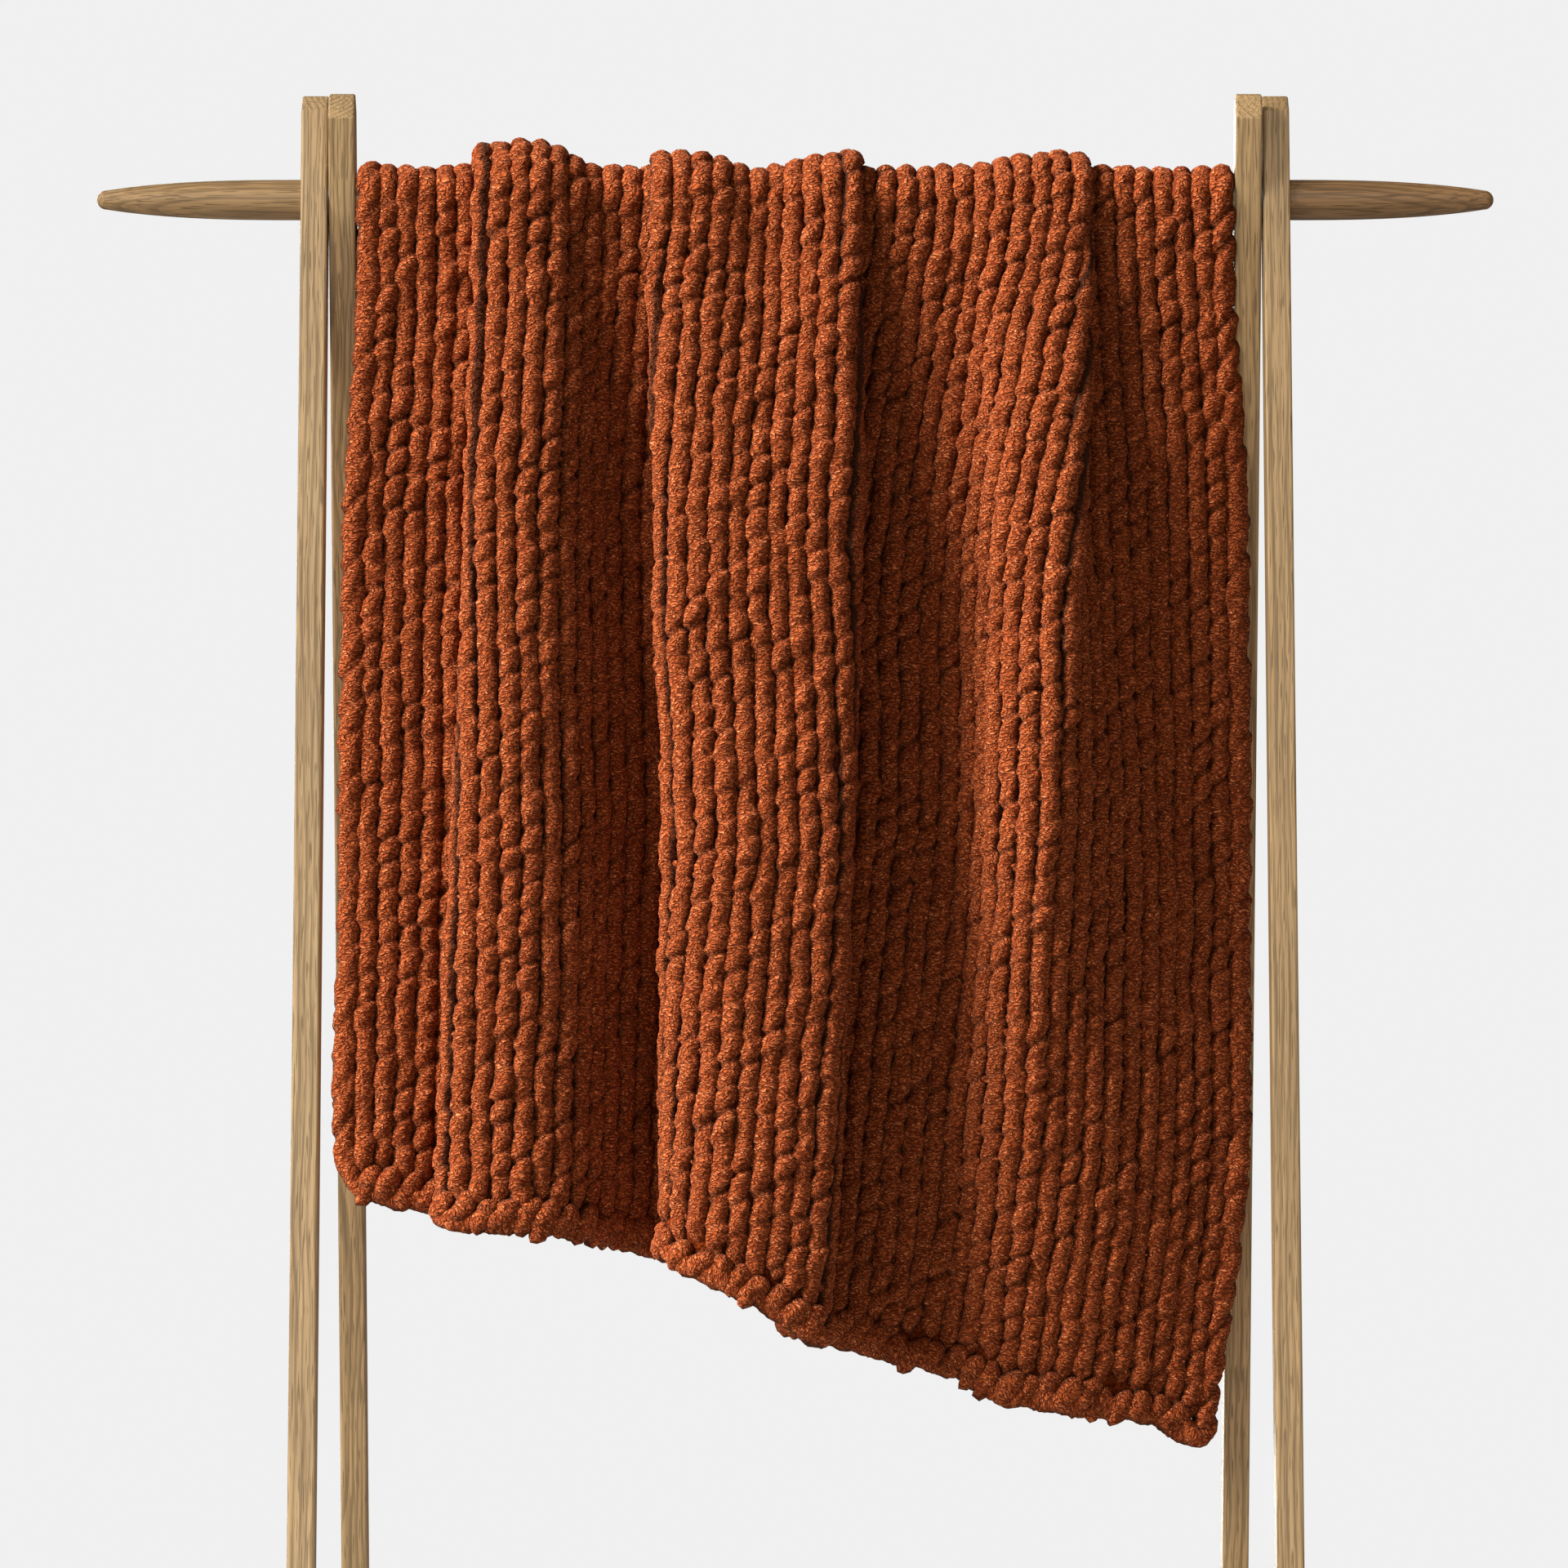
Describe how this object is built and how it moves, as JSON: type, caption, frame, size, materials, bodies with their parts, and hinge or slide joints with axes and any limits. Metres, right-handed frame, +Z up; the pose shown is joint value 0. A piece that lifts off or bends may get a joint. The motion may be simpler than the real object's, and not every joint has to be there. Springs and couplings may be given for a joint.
{
  "type": "quilt rack with throw",
  "caption": "Freestanding folding oak rack of crossed legs and a round bar with tapered ends, holding a chunky knitted chenille throw.",
  "frame": {"origin": "on the floor, at the bottom centre of the box round the rack, midway between its four feet", "axes": "+Z up; front is -Y, the side with the long panel of the throw; +X to the right seen from the front, along the bar"},
  "size_m": [1.368, 0.6806, 1.6529],
  "materials": {
    "leg_oak": "matte",
    "bar_oak": "satin",
    "dowel_beech": "matte",
    "steel": "satin",
    "washer_nylon": "matte",
    "pad_rubber": "matte",
    "chenille": "matte"
  },
  "bodies": {
    "frame": {"hanging_bar": "bar_oak", "finial_left": "bar_oak", "finial_stud_left": "steel", "inner_leg_left": "leg_oak", "locking_dowel_left": "dowel_beech", "stop_pin_left": "steel", "spacer_washer_left": "washer_nylon", "rear_foot_pad_left": "pad_rubber", "finial_right": "bar_oak", "finial_stud_right": "steel", "inner_leg_right": "leg_oak", "locking_dowel_right": "dowel_beech", "stop_pin_right": "steel", "spacer_washer_right": "washer_nylon", "rear_foot_pad_right": "pad_rubber"},
    "left_outer_leg": {"outer_leg_left": "leg_oak", "front_foot_pad_left": "pad_rubber"},
    "right_outer_leg": {"outer_leg_right": "leg_oak", "front_foot_pad_right": "pad_rubber"},
    "throw": {"throw": "chenille"}
  },
  "joints": [
    {"name": "left_leg_fold", "type": "hinge", "parent": "frame", "child": "left_outer_leg", "pos_m": [-0.4705, 0, 1.55], "axis": [1, 0, 0], "range_deg": [0, 23]},
    {"name": "right_leg_fold", "type": "hinge", "parent": "frame", "child": "right_outer_leg", "pos_m": [0.4705, 0, 1.55], "axis": [1, 0, 0], "range_deg": [0, 23]},
    {"name": "throw_lift", "type": "slide", "parent": "frame", "child": "throw", "axis": [0, 0, 1], "range_m": [0, 1.4]}
  ]
}
